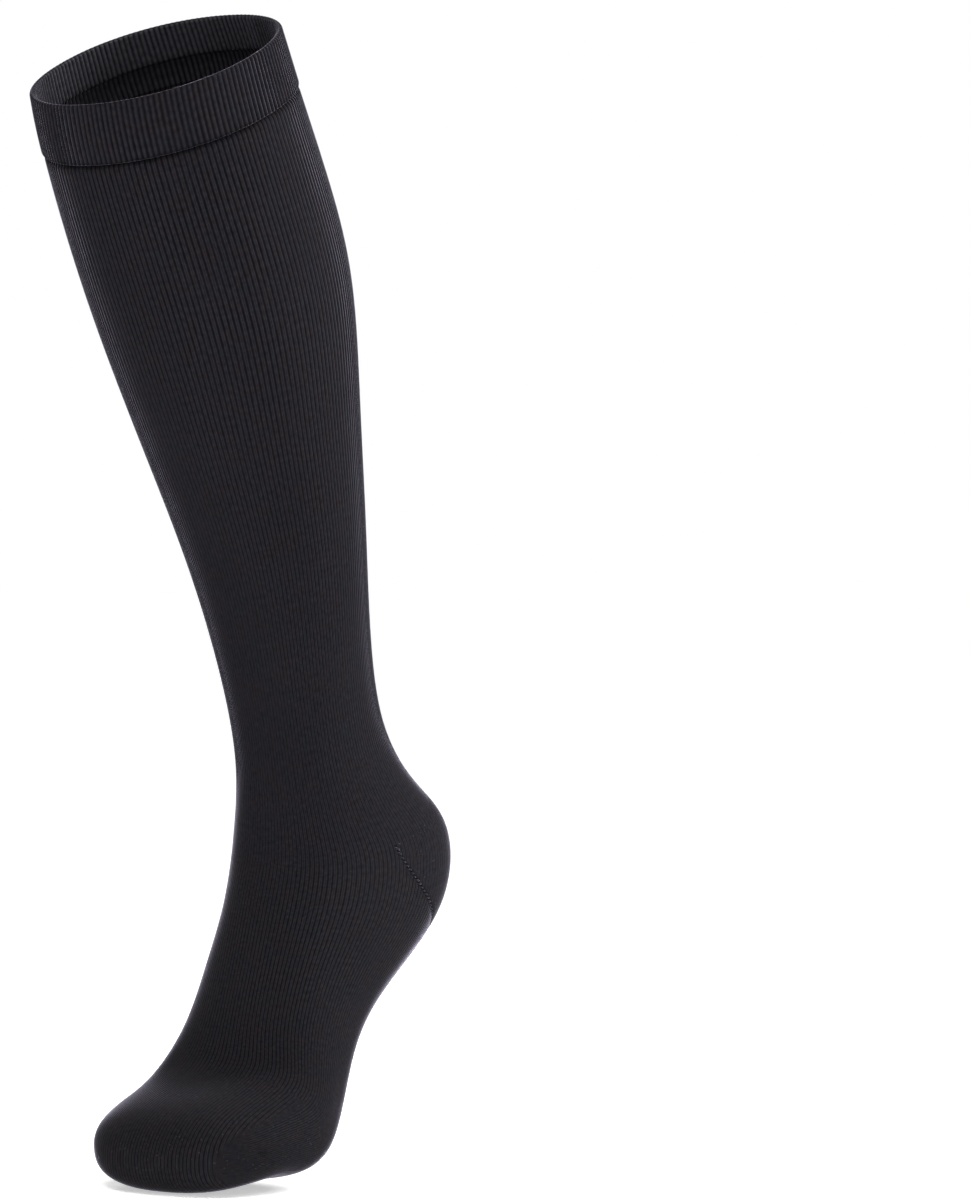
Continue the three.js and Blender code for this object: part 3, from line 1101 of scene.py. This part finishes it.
@dataclass
class Studio:
    """The pale floor, the soft light and the camera.

    Over the distances of far from its middle the floor passes into plain white light, so that no edge shows.
    """

    floor_height: float
    floor_half: float = 9.0
    far: tuple[float, float] = (0.7, 1.6)
    middle: Vector = field(default_factory=lambda: Vector((0.0, 0.06, -0.23)))
    camera_at: tuple[float, float, float] = (1.5808, -2.0195, -0.1683)
    heading: tuple[float, float] = (-0.5726, 0.8199)
    tip: float = math.radians(1.37)
    lens: float = 180.77
    sky: float = 0.07

    def build(self) -> None:
        """Makes the floor, the lights, the sky and the camera."""
        self.floor()
        for box in Softbox:
            self.softbox(box)
        self.sky_light()
        self.camera()
        LOG.info("studio: floor at %.4f m", self.floor_height)

    def floor(self) -> None:
        """A wide pale floor."""
        half = self.floor_half
        mesh = bpy.data.meshes.new("floor")
        corners = [(-half, -half), (half, -half), (half, half), (-half, half)]
        mesh.from_pydata([(x, y, self.floor_height) for x, y in corners], [], [(0, 1, 2, 3)])
        board = Board("studio_floor")
        place = board.position()
        tone = board.blend(board.noise(place, 3.0), (0.93, 0.93, 0.935, 1.0), (0.95, 0.95, 0.95, 1.0))
        away = board.result("Value", "ShaderNodeVectorMath", {"operation": "LENGTH"}, {"Vector": place})
        far = board.ramp(away, *self.far)
        finish = {
            "Base Color": board.blend(far, tone, (0.3, 0.3, 0.3, 1.0)),
            "Roughness": 0.7,
            "Emission Color": board.blend(far, (0.5, 0.5, 0.5, 1.0), (0.97, 0.97, 0.97, 1.0)),
            "Emission Strength": 1.0,
        }
        mesh.materials.append(board.surface(finish))
        in_scene("floor", mesh)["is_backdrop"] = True

    def softbox(self, box: Softbox) -> None:
        """One soft area light that faces the stocking."""
        at, width, height, power = box.value
        light = bpy.data.lights.new(box.name.lower(), "AREA")
        light.shape = "RECTANGLE"
        light.size, light.size_y, light.energy = width, height, power
        thing = in_scene(box.name.lower(), light)
        thing.location = at
        aim(thing, self.middle - Vector(at))

    def sky_light(self) -> None:
        """A white surround, faint as a light and full white where it is seen."""
        world = bpy.data.worlds.new("studio")
        world.use_nodes = True
        tree = world.node_tree
        tree.nodes.clear()
        seen = tree.nodes.new("ShaderNodeLightPath")
        soft, white = tree.nodes.new("ShaderNodeBackground"), tree.nodes.new("ShaderNodeBackground")
        soft.inputs["Strength"].default_value = self.sky
        for part in (soft, white):
            part.inputs["Color"].default_value = (1, 1, 1, 1)
        mix, out = tree.nodes.new("ShaderNodeMixShader"), tree.nodes.new("ShaderNodeOutputWorld")
        tree.links.new(seen.outputs["Is Camera Ray"], mix.inputs["Fac"])
        tree.links.new(soft.outputs[0], mix.inputs[1])
        tree.links.new(white.outputs[0], mix.inputs[2])
        tree.links.new(mix.outputs[0], out.inputs["Surface"])
        bpy.context.scene.world = world
        bpy.context.scene.view_settings.view_transform = "Standard"

    def camera(self) -> None:
        """The camera, at the photograph's angle."""
        lens = bpy.data.cameras.new("camera")
        lens.lens, lens.sensor_width = self.lens, 36.0
        lens.clip_start, lens.clip_end = 0.05, 60.0
        thing = in_scene("camera", lens)
        thing.location = self.camera_at
        flat = Vector((*self.heading, 0.0)).normalized()
        aim(thing, flat * math.cos(self.tip) - Vector((0, 0, math.sin(self.tip))))
        bpy.context.scene.camera = thing


def main() -> None:
    """Builds the studio and the stocking from the foot up."""
    solid_box = [list(corner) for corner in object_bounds()]
    Studio(floor_height=solid_box[0][2] - FLOOR_GAP).build()
    pieces = [Foot().build(), Toe().build(), Heel().build(), Leg().build(), Cuff().build()]
    for thing in pieces:
        LOG.info("%s: %.4f square metres of cloth on both faces", thing.name, whole_area(thing))


if __name__ == "__main__":
    logging.basicConfig(level=logging.INFO, format="%(message)s")
    main()
